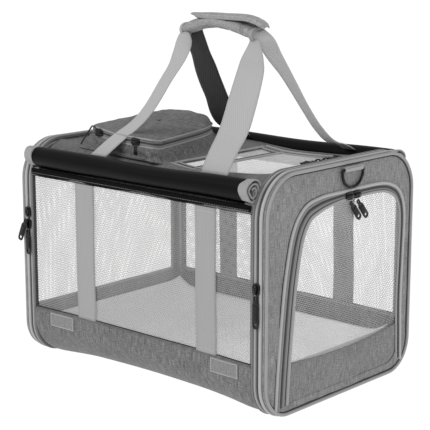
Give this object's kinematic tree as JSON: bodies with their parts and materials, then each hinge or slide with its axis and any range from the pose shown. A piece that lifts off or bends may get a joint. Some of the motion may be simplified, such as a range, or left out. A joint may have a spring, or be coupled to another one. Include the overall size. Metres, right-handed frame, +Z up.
{
  "type": "pet carrier bag",
  "caption": "Soft-sided rectangular pet carrier bag with see-through mesh walls, arched zip end door, top zip door, top pocket, rolled side flaps and a webbing carrying handle.",
  "frame": {"origin": "on the floor, under the middle of the bag", "axes": "+Z up, +X along the bag towards the end with the arched door, -Y to the front wall"},
  "size_m": [0.4688, 0.348, 0.4914],
  "materials": {
    "heather": "heather grey woven polyester, matt",
    "heather_dark": "heather grey woven polyester, a shade darker, matt",
    "binding": "light grey grosgrain binding and zip tape",
    "mesh": "fine see-through knitted mesh",
    "webbing": "smooth light grey webbing",
    "handle_webbing": "light grey twill webbing",
    "black_cloth": "black coated cloth, soft sheen",
    "matting": "light grey quilted fleece mat",
    "board": "matt black plastic board",
    "patch": "grey loop pile of a hook-and-loop fastener",
    "hoop_steel": "spring steel wire",
    "ring_metal": "gunmetal plating, glossy",
    "zip_metal": "black enamelled zinc, glossy"
  },
  "bodies": {
    "root": {"upper_front_border": "heather", "upper_back_border": "heather", "top_panel": "heather", "pocket_body": "heather", "lower_shell": "heather_dark", "right_gusset": "binding", "left_gusset": "binding", "front_mesh": "mesh", "back_mesh": "mesh", "front_left_wall_strap": "webbing", "front_right_wall_strap": "webbing", "back_left_wall_strap": "webbing", "back_right_wall_strap": "webbing", "handle_front_left_strap": "handle_webbing", "handle_front_right_strap": "handle_webbing", "handle_back_left_strap": "handle_webbing", "handle_back_right_strap": "handle_webbing", "front_flap_roll": "black_cloth", "back_flap_roll": "black_cloth", "front_flap_strip": "black_cloth", "back_flap_strip": "black_cloth", "floor_mat": "matting", "base_board": "board", "front_left_patch": "patch", "front_right_patch": "patch", "right_frame_hoop": "hoop_steel", "left_frame_hoop": "hoop_steel"},
    "right_end": {"right_end_panel": "heather", "right_end_piping": "binding", "right_d_ring_tab": "webbing"},
    "left_end": {"left_end_panel": "heather", "left_end_piping": "binding", "left_d_ring_tab": "webbing", "left_end_mesh": "mesh"},
    "right_door": {"right_door_frame": "heather_dark", "right_door_mesh": "mesh"},
    "top_door": {"top_door_frame": "binding", "top_door_mesh": "mesh"},
    "pocket_lid": {"pocket_lid": "heather"},
    "grip": {"handle_grip": "heather"},
    "wing": {"handle_wing": "heather"},
    "right_ring": {"right_d_ring": "ring_metal"},
    "left_ring": {"left_d_ring": "ring_metal"},
    "right_gusset_slider": {"right_gusset_slider": "zip_metal"},
    "right_gusset_pull": {"right_gusset_pull": "zip_metal"},
    "left_gusset_upper_slider": {"left_gusset_upper_slider": "zip_metal"},
    "left_gusset_upper_pull": {"left_gusset_upper_pull": "zip_metal"},
    "left_gusset_lower_slider": {"left_gusset_lower_slider": "zip_metal"},
    "left_gusset_lower_pull": {"left_gusset_lower_pull": "zip_metal"},
    "right_door_front_slider": {"right_door_front_slider": "zip_metal"},
    "right_door_front_pull": {"right_door_front_pull": "zip_metal"},
    "right_door_back_slider": {"right_door_back_slider": "zip_metal"},
    "right_door_back_pull": {"right_door_back_pull": "zip_metal"},
    "top_door_front_slider": {"top_door_front_slider": "zip_metal"},
    "top_door_front_pull": {"top_door_front_pull": "zip_metal"},
    "top_door_back_slider": {"top_door_back_slider": "zip_metal"},
    "top_door_back_pull": {"top_door_back_pull": "zip_metal"},
    "pocket_left_slider": {"pocket_left_slider": "zip_metal"},
    "pocket_right_slider": {"pocket_right_slider": "zip_metal"},
    "pocket_right_pull": {"pocket_right_pull": "zip_metal"}
  },
  "joints": [
    {"name": "right_end_fold", "type": "hinge", "parent": "root", "child": "right_end", "pos_m": [0.23, 0, 0], "axis": [0, 1, 0], "range_deg": [0, 88]},
    {"name": "left_end_fold", "type": "hinge", "parent": "root", "child": "left_end", "pos_m": [-0.23, 0, 0], "axis": [0, -1, 0], "range_deg": [0, 88]},
    {"name": "right_door_open", "type": "hinge", "parent": "right_end", "child": "right_door", "pos_m": [0.227, 0, 0.0116], "axis": [0, -1, 0], "range_deg": [-88, 0]},
    {"name": "top_door_open", "type": "hinge", "parent": "root", "child": "top_door", "pos_m": [0.045, 0, 0.307], "axis": [0, -1, 0], "range_deg": [0, 22]},
    {"name": "pocket_lid_open", "type": "hinge", "parent": "root", "child": "pocket_lid", "pos_m": [-0.042, -0.019, 0.3428], "axis": [0, -1, 0], "range_deg": [0, 45]},
    {"name": "handle_drop", "type": "slide", "parent": "root", "child": "grip", "axis": [0, 0, -1], "range_m": [0, 0.04], "deforming": ["handle_front_left_strap", "handle_front_right_strap", "handle_back_left_strap", "handle_back_right_strap"]},
    {"name": "wing_open", "type": "hinge", "parent": "grip", "child": "wing", "pos_m": [0.028, 0.013, 0.487], "axis": [-1, 0, 0], "range_deg": [0, 120]},
    {"name": "right_ring_swing", "type": "hinge", "parent": "right_end", "child": "right_ring", "pos_m": [0.2306, 0.014, 0.3006], "axis": [0, -1, 0], "range_deg": [0, 140]},
    {"name": "left_ring_swing", "type": "hinge", "parent": "left_end", "child": "left_ring", "pos_m": [-0.2306, 0, 0.3006], "axis": [0, 1, 0], "range_deg": [0, 140]},
    {"name": "right_gusset_zip", "type": "slide", "parent": "root", "child": "right_gusset_slider", "axis": [0, 0, 1], "range_m": [-0.11, 0.07]},
    {"name": "left_gusset_upper_zip", "type": "slide", "parent": "root", "child": "left_gusset_upper_slider", "axis": [0, 0, 1], "range_m": [0, 0.038]},
    {"name": "left_gusset_lower_zip", "type": "slide", "parent": "root", "child": "left_gusset_lower_slider", "axis": [0, 0, 1], "range_m": [-0.12, 0]},
    {"name": "right_door_front_zip", "type": "slide", "parent": "right_door", "child": "right_door_front_slider", "axis": [0, 1, 0], "range_m": [-0.04, 0]},
    {"name": "right_door_back_zip", "type": "slide", "parent": "right_door", "child": "right_door_back_slider", "axis": [0, 1, 0], "range_m": [0, 0.045]},
    {"name": "top_door_front_zip", "type": "slide", "parent": "top_door", "child": "top_door_front_slider", "axis": [0, 1, 0], "range_m": [-0.05, 0]},
    {"name": "top_door_back_zip", "type": "slide", "parent": "top_door", "child": "top_door_back_slider", "axis": [0, 1, 0], "range_m": [0, 0.048]},
    {"name": "pocket_left_zip", "type": "slide", "parent": "root", "child": "pocket_left_slider", "axis": [1, 0, 0], "range_m": [0, 0.03]},
    {"name": "pocket_right_zip", "type": "slide", "parent": "root", "child": "pocket_right_slider", "axis": [1, 0, 0], "range_m": [-0.03, 0]},
    {"name": "right_gusset_tab", "type": "hinge", "parent": "right_gusset_slider", "child": "right_gusset_pull", "pos_m": [0.215, -0.16165, 0.1598], "axis": [-1, 0, 0], "range_deg": [0, 100]},
    {"name": "left_gusset_upper_tab", "type": "hinge", "parent": "left_gusset_upper_slider", "child": "left_gusset_upper_pull", "pos_m": [-0.21561, -0.16525, 0.19695], "axis": [-1, 0, 0], "range_deg": [0, 40]},
    {"name": "left_gusset_lower_tab", "type": "hinge", "parent": "left_gusset_lower_slider", "child": "left_gusset_lower_pull", "pos_m": [-0.215, -0.16165, 0.1803], "axis": [-1, 0, 0], "range_deg": [0, 100]},
    {"name": "right_door_front_tab", "type": "hinge", "parent": "right_door_front_slider", "child": "right_door_front_pull", "pos_m": [0.2297, 0.01119, 0.25559], "axis": [0, -1, 0], "range_deg": [0, 100]},
    {"name": "right_door_back_tab", "type": "hinge", "parent": "right_door_back_slider", "child": "right_door_back_pull", "pos_m": [0.2297, 0.02699, 0.25559], "axis": [0, -1, 0], "range_deg": [0, 100]},
    {"name": "top_door_front_tab", "type": "hinge", "parent": "top_door_front_slider", "child": "top_door_front_pull", "pos_m": [0.189, -0.0172, 0.30965], "axis": [-1, 0, 0], "range_deg": [0, 100]},
    {"name": "top_door_back_tab", "type": "hinge", "parent": "top_door_back_slider", "child": "top_door_back_pull", "pos_m": [0.189, 0.0192, 0.30965], "axis": [1, 0, 0], "range_deg": [0, 100]},
    {"name": "pocket_right_tab", "type": "hinge", "parent": "pocket_right_slider", "child": "pocket_right_pull", "pos_m": [-0.034, -0.12065, 0.3148], "axis": [-1, 0, 0], "range_deg": [0, 100]}
  ]
}
